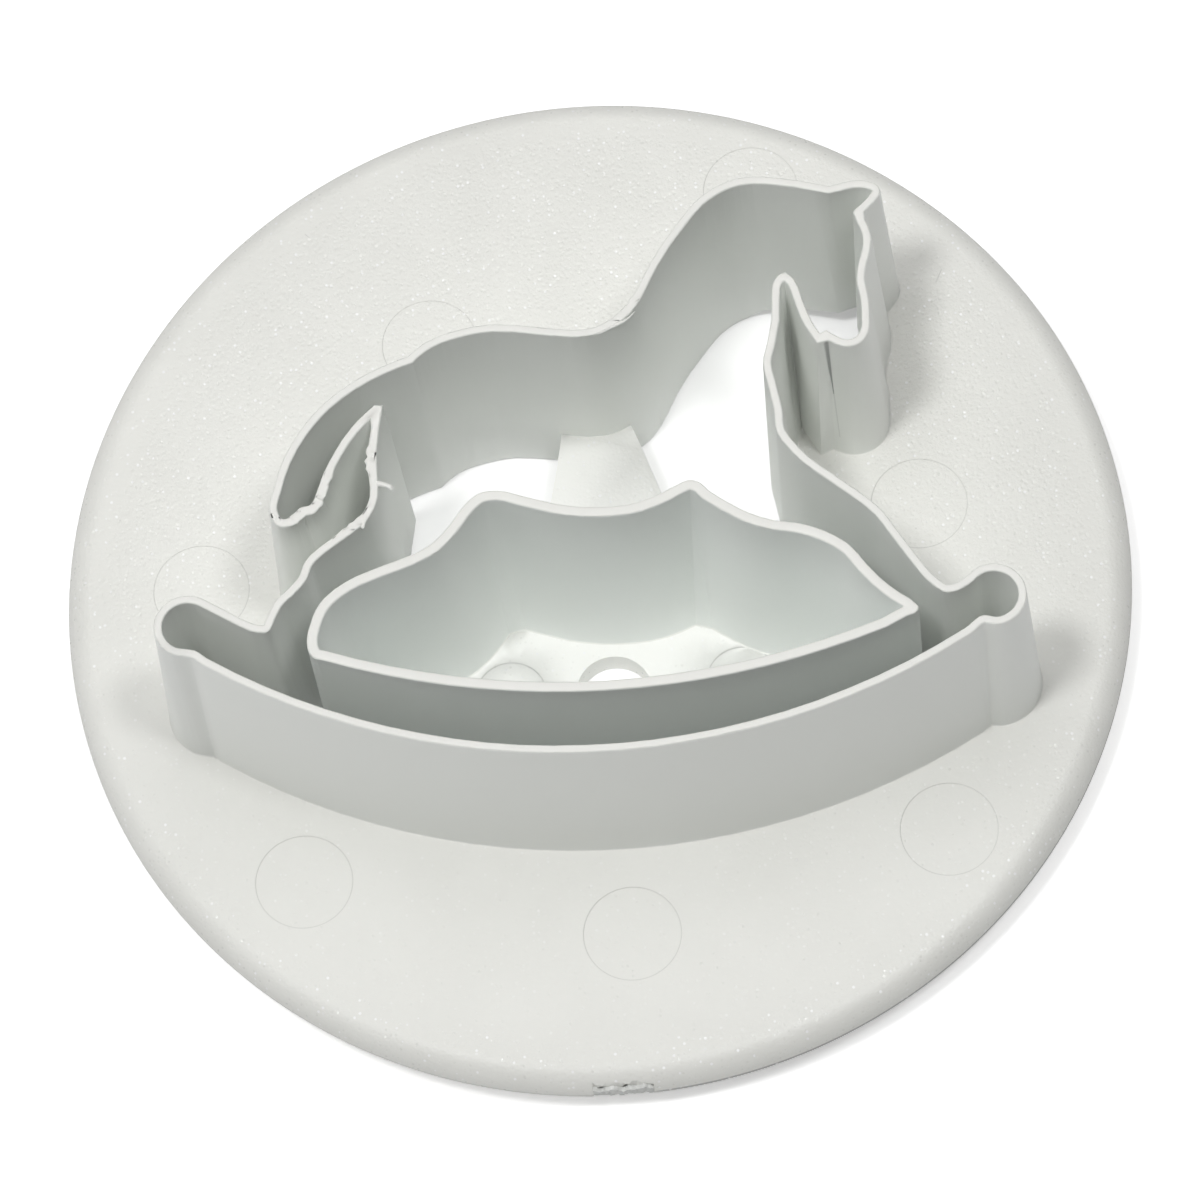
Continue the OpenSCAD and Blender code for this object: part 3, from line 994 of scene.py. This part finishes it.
    def _pick_near(self, point: Vector, reach: float = 0.5 * MM) -> None:
        """Selects the faces that reach near a point, seen from above.

        Args:
            point: The point.
            reach: How near.
        """
        mesh = self.skin.data
        corners = places(mesh)[read(mesh.loops, "vertex_index", np.int32), :2]
        start = read(mesh.polygons, "loop_start", np.int32)
        low = np.minimum.reduceat(corners, start) - reach
        high = np.maximum.reduceat(corners, start) + reach
        spot = np.array(point[:2])
        for kind in (mesh.vertices, mesh.edges):
            kind.foreach_set("select", [False] * len(kind))
        mesh.polygons.foreach_set("select", np.all((low < spot) & (spot < high), axis=1))
        mesh.update()

    def shape(self) -> None:
        """Eases the edges, swells the foot and lets the wall wander a little."""
        way, side = self.sides()
        mesh = self.skin.data
        co = places(mesh)
        z = co[:, 2]
        down = np.clip((z - (self.top_z - self.edge_r)) / self.edge_r, 0, 1)
        ease = self.edge_r * (1 - np.sqrt(np.maximum(0, 1 - down**2)))
        up = np.clip(1 - (z - self.foot_z) / self.fillet_r, 0, 1) * (z > self.foot_z - 0.001 * MM)
        swell = self.fillet_r * (1 - np.sqrt(np.maximum(0, 1 - up**2)))
        swell *= side == self.foot_side.value
        lift = np.clip((z - self.foot_z) / (self.top_z - self.foot_z), 0, 1)
        wide, tall, fine = *self.sway_wave, self.nick_wave
        sways = [noise.noise(Vector((x / wide, y / wide, h / tall))) for x, y, h in co]
        nicks = [noise.noise(Vector((x / fine, y / fine, 3.0))) for x, y, _ in co]
        wander = np.array(sways) * self.sway * lift
        rough = np.array(nicks) * self.nick * (down > 0)
        co[:, :2] += way * (swell - ease + rough)[:, None]
        for burr in self.burrs:
            co[:, :2] += way * burr.grow(co, self.top_z, side)[:, None]
        sideways = np.where(side == 0, -1.0, 1.0) * wander
        co[:, :2] += way * sideways[:, None]
        put_places(mesh, co)
        ragged_z = self.top_z - self.ragged
        pick_faces(self.skin, lambda f: f.center.z > ragged_z)
        with editing(self.skin, "FACE"):
            bpy.ops.mesh.quads_convert_to_tris(quad_method="BEAUTY", ngon_method="BEAUTY")

    def part(self) -> list[Piece]:
        """Parts the skin into its runs, each closed at its ends and shaded as one surface.

        Returns:
            One piece a run, in the order of the runs.
        """
        skin = self.skin
        smooth(skin, 32)
        keep = skin.data.attributes.new("keep_way", "FLOAT_VECTOR", "CORNER")
        ways = read(skin.data.corner_normals, "vector", np.float32, 3)
        keep.data.foreach_set("vector", ways.ravel())
        pieces = []
        for i, run in enumerate(self.runs):
            piece = skin
            if i < len(self.runs) - 1:
                owner = read(skin.data.attributes["run"].data, "value", np.int32)
                pick_faces(skin, lambda f: owner[f.index] == i)
                before = set(bpy.data.objects)
                with editing(skin, "FACE"):
                    bpy.ops.mesh.separate(type="SELECTED")
                piece = (set(bpy.data.objects) - before).pop()
            self._close(piece)
            piece.name = piece.data.name = f"{run}_skin"
            pieces.append(piece)
        return pieces

    @staticmethod
    def _close(piece: Piece) -> None:
        """Fills the open ends of a run and gives back the shading that it had in the whole skin.

        Args:
            piece: The parted run.
        """
        with editing(piece, "EDGE"):
            bpy.ops.mesh.select_all(action="DESELECT")
            bpy.ops.mesh.select_non_manifold(
                extend=False, use_wire=False, use_boundary=True, use_multi_face=False,
                use_non_contiguous=False, use_verts=False,
            )
            bpy.ops.mesh.mark_sharp()
            bpy.ops.mesh.fill_holes(sides=0)
        mesh = piece.data
        mesh.polygons.foreach_set("use_smooth", [True] * len(mesh.polygons))
        ways = read(mesh.attributes["keep_way"].data, "vector", np.float32, 3)
        corners = read(mesh.polygons, "loop_total", np.int32)
        owner = np.repeat(np.arange(len(corners)), corners)
        plain = read(mesh.polygons, "normal", np.float32, 3)[owner]
        lost = np.einsum("ij,ij->i", ways, plain) < 0.5
        ways[lost] = plain[lost]
        mesh.normals_split_custom_set([tuple(w) for w in ways])
        for mark in ("keep_way", "run"):
            mesh.attributes.remove(mesh.attributes[mark])

    def build(self, nodes: Nodes, material: Material) -> None:
        """Makes and dresses the whole blade.

        Args:
            nodes: The CAD nodes by name.
            material: The blade's finish.
        """
        self.gather(nodes)
        self.measure()
        self.level_cuts()
        self.cross_cuts()
        self.shape()
        for piece, run in zip(self.part(), self.runs):
            dress(piece, material, Slot.SATIN, run)


@dataclass
class Disc:
    """The round plate, open inside the outer blade, and its rounded rim with the skirt."""

    disc_r: float = 44.99 * MM
    plate_r: float = 41.3 * MM
    top_z: float = PLATE_Z
    under_z: float = UNDER_Z
    rim_w: float = 3.2 * MM
    rim_rise: float = 2.2 * MM
    lip_z: float = 3.4 * MM
    lip_w: float = 1.5 * MM
    lip_r: float = 0.08 * MM
    skirt_w: float = 2.0 * MM
    skirt_out_r: float = 0.3 * MM
    skirt_in_r: float = 0.25 * MM
    pin_r: float = 4.05 * MM
    pin_deep: float = 0.03 * MM
    pin_tall: float = 2 * MM
    pin_sides: int = 128
    hole_gap: float = 0.5 * MM
    hole_tall: float = 6 * MM
    hole_drop: float = 1.5 * MM
    gate_a: float = math.radians(-88.2)
    gate_w: float = 5.0 * MM
    gate_deep: float = 1.0 * MM
    gate_cuts: int = 14
    gate_bite: float = 0.35 * MM
    gate_wave: float = 0.7 * MM
    steps: int = 360

    def opening(self, plate_node: Piece) -> Piece:
        """Makes the tool that opens the plate along the foot of the wall.

        Args:
            plate_node: The CAD plate, whose hole follows the foot of the wall.

        Returns:
            An upright prism through the plate.
        """
        tool = copied(plate_node, "opening_tool")
        low = self.under_z + NEAR
        reach = self.plate_r - self.hole_gap
        pick_points(tool, lambda co: co.z < low and co.xy.length < reach)
        mesh = tool.data
        chosen = {v.index for v in mesh.vertices if v.select}
        walls = [f for f in mesh.polygons if abs(f.normal.z) < UPRIGHT]
        walls = [f for f in walls if f.center.xy.length < reach]
        line = {tuple(sorted(e)) for f in walls for e in f.edge_keys if set(e) <= chosen}
        for edge in mesh.edges:
            edge.select = tuple(sorted(edge.vertices)) in line
        before = set(bpy.data.objects)
        with editing(tool, "EDGE"):
            bpy.ops.mesh.duplicate()
            bpy.ops.mesh.separate(type="SELECTED")
        made = (set(bpy.data.objects) - before).pop()
        bpy.data.objects.remove(tool)
        with editing(made, "EDGE", whole=True):
            bpy.ops.mesh.edge_face_add()
            bpy.ops.mesh.select_all(action="SELECT")
            up = (0, 0, self.hole_tall)
            bpy.ops.mesh.extrude_region_move(TRANSFORM_OT_translate={"value": up})
            bpy.ops.mesh.select_all(action="SELECT")
            bpy.ops.transform.translate(value=(0, 0, -self.hole_drop))
        outward(made)
        return made

    def pins(self) -> Piece:
        """Makes the tool of the shallow round recesses that ejector pins leave.

        Returns:
            All its cylinders as one piece.
        """
        made = []
        for x, y in PINS:
            only()
            bpy.ops.mesh.primitive_cylinder_add(
                vertices=self.pin_sides, radius=self.pin_r, depth=self.pin_tall,
                location=(x * MM, y * MM, self.top_z - self.pin_deep + self.pin_tall / 2),
            )
            made.append(taken("pin"))
        return joined(made, "pin_tool")

    def plate(self, plate_node: Piece) -> Piece:
        """Makes the plate with its opening and its pin marks.

        Args:
            plate_node: The CAD plate.

        Returns:
            The plate.
        """
        only()
        bpy.ops.mesh.primitive_cylinder_add(
            vertices=self.steps, radius=self.plate_r, depth=self.top_z - self.under_z,
            location=(0, 0, (self.top_z + self.under_z) / 2),
        )
        piece = taken("plate_skin")
        cut(piece, self.opening(plate_node))
        cut(piece, self.pins())
        smooth(piece, 20)
        for face in piece.data.polygons:
            face.use_smooth = abs(face.normal.z) < FLAT
        return piece

    def rim(self) -> Piece:
        """Makes the rim: its section is drawn, its corner rounded, and it is spun round the disc.

        Returns:
            The closed ring, without the notch and the pin marks.
        """
        only()
        width, height = self.disc_r - self.plate_r, self.top_z - self.lip_z
        bpy.ops.mesh.primitive_plane_add(
            size=1, location=(self.plate_r + width / 2, 0, self.lip_z + height / 2),
            rotation=(math.pi / 2, 0, 0),
        )
        piece = taken("rim_skin", (width, height, 1))
        skirt_out = self.disc_r - self.lip_w
        skirt_in = skirt_out - self.skirt_w
        for x in (skirt_in, skirt_out):
            with editing(piece, whole=True):
                bpy.ops.mesh.bisect(plane_co=(x, 0, 0), plane_no=(1, 0, 0))
        self._pull_down(piece, self.lip_z, (self.plate_r, skirt_out), self.under_z)
        self._pull_down(piece, self.under_z, (skirt_in, skirt_out), 0.0)
        self._round(piece, (self.disc_r, self.top_z), self.rim_rise, 20)
        start = self.lip_z + 0.1 * MM
        pick_points(piece, lambda co: co.x > self.disc_r - self.rim_rise - NEAR and co.z > start)
        with editing(piece):
            bpy.ops.transform.resize(
                value=(self.rim_w / self.rim_rise, 1, 1),
                center_override=(self.disc_r, 0, self.top_z),
            )
        self._round(piece, (self.disc_r, self.lip_z), self.lip_r, 3)
        self._round(piece, (skirt_out, 0.0), self.skirt_out_r, 5)
        self._round(piece, (skirt_in, 0.0), self.skirt_in_r, 4)
        self._keep_outline(piece)
        with editing(piece, "EDGE", whole=True):
            bpy.ops.mesh.spin(steps=self.steps, angle=2 * math.pi, center=(0, 0, 0), axis=(0, 0, 1))
        merged(piece)
        outward(piece)
        return piece

    @staticmethod
    def _round(piece: Piece, corner: Point, radius: float, steps: int) -> None:
        """Rounds one corner of the rim's section.

        Args:
            piece: The section.
            corner: Radius and height of the corner.
            radius: How far the rounding reaches.
            steps: Number of its edges.
        """
        pick_points(piece, lambda co: abs(co.x - corner[0]) < NEAR and abs(co.z - corner[1]) < NEAR)
        with editing(piece):
            bpy.ops.mesh.bevel(offset=radius, segments=steps, profile=0.5, affect="VERTICES")

    @staticmethod
    def _pull_down(piece: Piece, level: float, span: Point, low: float) -> None:
        """Extrudes the section's lower edges down.

        Args:
            piece: The section.
            level: Height of the edges.
            span: The two radii that they lie between.
            low: Height to reach.
        """
        pick_points(
            piece, lambda co: abs(co.z - level) < NEAR and span[0] - NEAR < co.x < span[1] + NEAR,
        )
        for edge in piece.data.edges:
            edge.select = all(piece.data.vertices[v].select for v in edge.vertices)
        with editing(piece, "EDGE"):
            bpy.ops.mesh.extrude_region_move(TRANSFORM_OT_translate={"value": (0, 0, low - level)})

    @staticmethod
    def _keep_outline(piece: Piece) -> None:
        """Leaves only the outline of the section, which the spin needs.

        Args:
            piece: The section.
        """
        uses: dict[tuple[int, int], int] = {}
        for face in piece.data.polygons:
            for key in face.edge_keys:
                uses[key] = uses.get(key, 0) + 1
        pick_points(piece, lambda co: False)
        for edge in piece.data.edges:
            edge.select = uses[tuple(sorted(edge.vertices))] > 1
        with editing(piece, "EDGE"):
            bpy.ops.mesh.delete(type="EDGE")
        with editing(piece, "FACE", whole=True):
            bpy.ops.mesh.delete(type="ONLY_FACE")

    def notch(self) -> Piece:
        """Makes the tool of the notch where the gate was, with a torn inner face.

        Returns:
            A block across the rim at the gate.
        """
        only()
        middle = (self.lip_z + self.top_z) / 2
        bpy.ops.mesh.primitive_cube_add(size=1, location=(self.disc_r, 0, middle))
        piece = taken("notch", (self.gate_deep, self.gate_w, self.top_z - self.lip_z + 2 * MM))
        with editing(piece, "FACE", whole=True):
            bpy.ops.mesh.subdivide(number_cuts=self.gate_cuts)
        co = places(piece.data)
        for i, (x, y, z) in enumerate(co):
            if x < self.disc_r - 0.4 * self.gate_deep:
                co[i, 0] += self.gate_bite * noise.noise(Vector((0.0, y, z)) / self.gate_wave)
        put_places(piece.data, co)
        with editing(piece, "FACE", whole=True):
            bpy.ops.mesh.quads_convert_to_tris()
        outward(piece)
        piece.rotation_euler.z = self.gate_a
        at_origin(piece)
        return piece

    def build(self, nodes: Nodes, face: Material, edge: Material) -> None:
        """Makes and dresses the plate and the rim.

        Args:
            nodes: The CAD nodes by name.
            face: The plate's finish.
            edge: The rim's finish.
        """
        dress(self.plate(nodes["plate"]), face, Slot.FROSTED, "plate")
        rim = self.rim()
        cut(rim, self.pins())
        cut(rim, self.notch())
        smooth(rim, 25)
        dress(rim, edge, Slot.FROSTED, "rim")


@dataclass(frozen=True)
class Shaving:
    """A thin thread of flash left on the cutting edge, in millimetres."""

    name: str
    path: tuple[Triple, ...]
    half: tuple[float, ...]
    sides: int = 8

    def build(self, material: Material) -> None:
        """Makes the thread by extruding a small disc from point to point, and dresses it.

        Args:
            material: The blade's finish.
        """
        points = [Vector(p) * MM for p in self.path]
        turn = (points[1] - points[0]).to_track_quat("Z", "Y").to_euler()
        only()
        bpy.ops.mesh.primitive_circle_add(
            vertices=self.sides, radius=self.half[0] * MM, fill_type="NGON", location=points[0],
            rotation=turn,
        )
        piece = taken(self.name)
        with editing(piece, "FACE", whole=True):
            for a, b, before, after in zip(points, points[1:], self.half, self.half[1:]):
                bpy.ops.mesh.extrude_region_move(TRANSFORM_OT_translate={"value": b - a})
                share = after / before
                bpy.ops.transform.resize(value=(share, share, share), center_override=b)
        step = piece.modifiers.new("soften", "SUBSURF")
        step.levels = step.render_levels = 2
        apply(piece, step)
        outward(piece)
        smooth(piece, 80)
        dress(piece, material, Slot.SATIN)


SHAVINGS = (
    Shaving(
        "whisker_burr",
        ((-16.63, 1.02, 25.55), (-16.43, 0.98, 25.66), (-16.03, 0.88, 25.70), (-15.68, 0.76, 25.62),
         (-15.40, 0.60, 25.55), (-15.30, 0.52, 25.50)),
        (0.34, 0.28, 0.23, 0.24, 0.32, 0.18),
    ),
    Shaving(
        "curl_burr",
        ((-17.88, -2.90, 25.5), (-17.80, -2.65, 25.64), (-17.68, -2.30, 25.70),
         (-17.56, -2.00, 25.68), (-17.54, -1.82, 25.6)),
        (0.2, 0.18, 0.16, 0.15, 0.1),
    ),
    Shaving(
        "back_flash",
        ((-1.38, 13.82, 25.5), (-0.68, 13.63, 25.6), (0.02, 13.66, 25.62), (0.72, 13.66, 25.6),
         (1.32, 13.56, 25.62), (2.02, 13.74, 25.6), (2.62, 14.04, 25.62), (3.32, 14.38, 25.6),
         (3.92, 14.64, 25.62), (4.47, 15.10, 25.6), (4.82, 15.60, 25.5)),
        (0.08, 0.16, 0.13, 0.17, 0.11, 0.17, 0.13, 0.19, 0.15, 0.16, 0.08),
    ),
)


@dataclass
class IslandFloor:
    """The floor inside the island with its release hole, and the bridge to the horse's back."""

    parts: tuple[str, ...] = ("island_floor", "belly_bridge")
    angle: float = 40.0

    def build(self, nodes: Nodes, material: Material) -> None:
        """Makes and dresses the floor and the bridge.

        Args:
            nodes: The CAD nodes by name.
            material: Their finish.
        """
        for name in self.parts:
            piece = copied(nodes[name], f"{name}_skin")
            smooth(piece, self.angle)
            dress(piece, material, Slot.FROSTED, name)


@dataclass
class GateScar:
    """The stub of the gate, cut off by hand and torn."""

    cuts: tuple[int, ...] = (5, 2)
    face_r: float = 44.6 * MM
    top_z: float = 4.2 * MM
    bite: float = 0.16 * MM
    bite_most: float = 0.17 * MM
    bite_wave: float = 0.4 * MM
    rise: float = 0.55 * MM
    rise_wave: float = 0.9 * MM

    def build(self, nodes: Nodes, material: Material) -> None:
        """Makes and dresses the torn stub.

        Args:
            nodes: The CAD nodes by name.
            material: Its finish.
        """
        piece = copied(nodes["gate_stub"], "gate_stub_skin")
        with editing(piece, "FACE", whole=True):
            for count in self.cuts:
                bpy.ops.mesh.subdivide(number_cuts=count)
        co = places(piece.data)
        for i, (x, y, z) in enumerate(co):
            pull = noise.noise(Vector((x, y, z)) / self.bite_wave)
            lump = 0.5 + noise.noise(Vector((x, 0.0, 0.0)) / self.rise_wave)
            radius = math.hypot(x, y)
            if radius > self.face_r:
                co[i, :2] *= 1 + min(self.bite * (0.6 + pull), self.bite_most) / radius
            if z > self.top_z:
                co[i, 2] += self.rise * lump + self.bite * pull
        put_places(piece.data, co)
        smooth(piece, 35)
        dress(piece, material, Slot.TORN, "gate_stub")


@dataclass(frozen=True)
class Lamp:
    """A round soft lamp that hangs over the table and faces its middle."""

    name: str
    power: float
    size: float
    place: Triple

    def hang(self) -> None:
        """Adds the lamp to the scene."""
        lamp = bpy.data.lights.new(self.name, "AREA")
        lamp.shape, lamp.size, lamp.energy = "DISK", self.size, self.power
        holder = bpy.data.objects.new(self.name, lamp)
        bpy.context.scene.collection.objects.link(holder)
        holder.location = self.place
        holder.rotation_euler = (-Vector(self.place)).to_track_quat("-Z", "Y").to_euler()


@dataclass
class Studio:
    """Pale table, soft light from above and the camera of the photograph.

    The camera was solved from the disc's outline and the pin marks: its rise over the table, its
    roll and its turn are in degrees, and its reach is in radii of the disc, along its own axes.
    """

    table: float = 1.6
    table_z: float = -0.03 * MM
    # The camera-only glow is weaker within 43 mm and stronger beyond 45 mm, which lightens the
    # object's cast shadow outside the rim: painted light
    glow_r: Point = (43.0 * MM, 45.0 * MM)
    glow: Point = (0.27, 0.45)
    sky: float = 0.11
    rise: float = 67.7
    roll: float = -9.98
    turn: float = 8.3
    reach: Triple = (-0.0028, -0.0231, 13.05)
    radius: float = 45.0 * MM
    lens: float = 209.34
    lamps: tuple[Lamp, ...] = (
        Lamp("left_lamp", 3.25, 0.16, (-0.22, -0.145, 1.0)),
        Lamp("right_lamp", 1.95, 0.16, (0.27, -0.09, 1.0)),
        Lamp("top_lamp", 0.27, 0.24, (0.0, 0.07, 0.32)),
        Lamp("side_lamp", 0.66, 0.5, (-0.62, -0.22, 0.42)),
    )

    def lay_table(self) -> None:
        """Makes the table top: it keeps the object's shadow and is white to the camera."""
        only()
        bpy.ops.mesh.primitive_grid_add(
            x_subdivisions=8, y_subdivisions=8, size=self.table, location=(0, 0, self.table_z),
        )
        top = taken("table_top")
        material = bpy.data.materials.new("white_table")
        material.use_nodes = True
        tree = material.node_tree
        g = Graph(tree)
        shader = tree.nodes["Principled BSDF"]
        g.feeds(shader, Base_Color=(0.99, 0.99, 0.99, 1.0), Roughness=0.9, Specular_IOR_Level=0.1)
        place = g.add("ShaderNodeTexCoord").outputs["Object"]
        reach = g.vector("LENGTH", g.vector("MULTIPLY", place, (1.0, 1.0, 0.0)))
        # Painted light: the glow rises beyond the rim and lightens the shadow there
        strength = g.times(g.seen(), g.ramp(reach, *self.glow_r, *self.glow))
        glow = g.add("ShaderNodeEmission", in_Color=(1.0, 1.0, 1.0, 1.0), in_Strength=strength)
        both = g.add("ShaderNodeAddShader", in_0=shader.outputs[0], in_1=glow.outputs[0])
        g.feeds(tree.nodes["Material Output"], Surface=both.outputs[0])
        top.data.materials.append(material)

    def hang_lights(self) -> None:
        """Makes the soft sky, which is white to the camera, and hangs the lamps."""
        world = bpy.data.worlds.new("soft_room")
        bpy.context.scene.world = world
        world.use_nodes = True
        g = Graph(world.node_tree)
        strength = g.math("ADD", self.sky, g.times(g.seen(), 1.0 - self.sky))
        back = world.node_tree.nodes["Background"]
        g.feeds(back, Color=(1.0, 1.0, 1.0, 1.0), Strength=strength)
        for lamp in self.lamps:
            lamp.hang()

    def set_camera(self) -> None:
        """Puts the camera where the photograph was taken from."""
        rise, roll, turn = (math.radians(a) for a in (self.rise, self.roll, self.turn))
        reach = Vector(self.reach) * self.radius
        ahead = Vector((0.0, math.cos(rise), -math.sin(rise)))
        right = Vector((1.0, 0.0, 0.0))
        down = ahead.cross(right)
        c, s = math.cos(roll), math.sin(roll)
        rows = (c * right - s * down, s * right + c * down, ahead)
        place = -(rows[0] * reach.x + rows[1] * reach.y + rows[2] * reach.z)
        place.z += PLATE_Z
        axes = Matrix((rows[0], -rows[1], -rows[2])).transposed().to_4x4()
        camera = bpy.data.cameras.new("photo_camera")
        camera.lens, camera.sensor_width, camera.sensor_fit = self.lens, 36.0, "HORIZONTAL"
        camera.clip_start, camera.clip_end = 0.01, 20.0
        holder = bpy.data.objects.new("photo_camera", camera)
        bpy.context.scene.collection.objects.link(holder)
        figure = Matrix.Translation((FIGURE_AT[0] * MM, FIGURE_AT[1] * MM, 0.0))
        turned = Matrix.Rotation(turn, 4, "Z") @ Matrix.Translation(place) @ axes
        holder.matrix_world = figure @ turned
        bpy.context.scene.camera = holder


def main() -> None:
    """Builds the cutter's looks and the studio round it."""
    logging.basicConfig(level=logging.INFO, format="%(name)s %(message)s")
    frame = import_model()
    nodes = frame["nodes"]
    bpy.context.scene.view_settings.view_transform = "Standard"
    effects = Effects()
    Disc().build(nodes, FROSTED.made(effects), EDGE.made(effects))
    satin, isle = SATIN.made(effects), ISLE.made(effects)
    Blade("outer_blade", OUTER_RUNS, PLATE_Z, Side.OUTER, OUTER_BURRS).build(nodes, satin)
    Blade("island_blade", ISLAND_RUNS, UNDER_Z, Side.INNER, ISLAND_BURRS).build(nodes, isle)
    for shaving in SHAVINGS:
        shaving.build(satin)
    IslandFloor().build(nodes, FLOOR.made(effects))
    GateScar().build(nodes, TORN.made(effects))
    studio = Studio()
    studio.lay_table()
    studio.hang_lights()
    studio.set_camera()


if __name__ == "__main__":
    main()
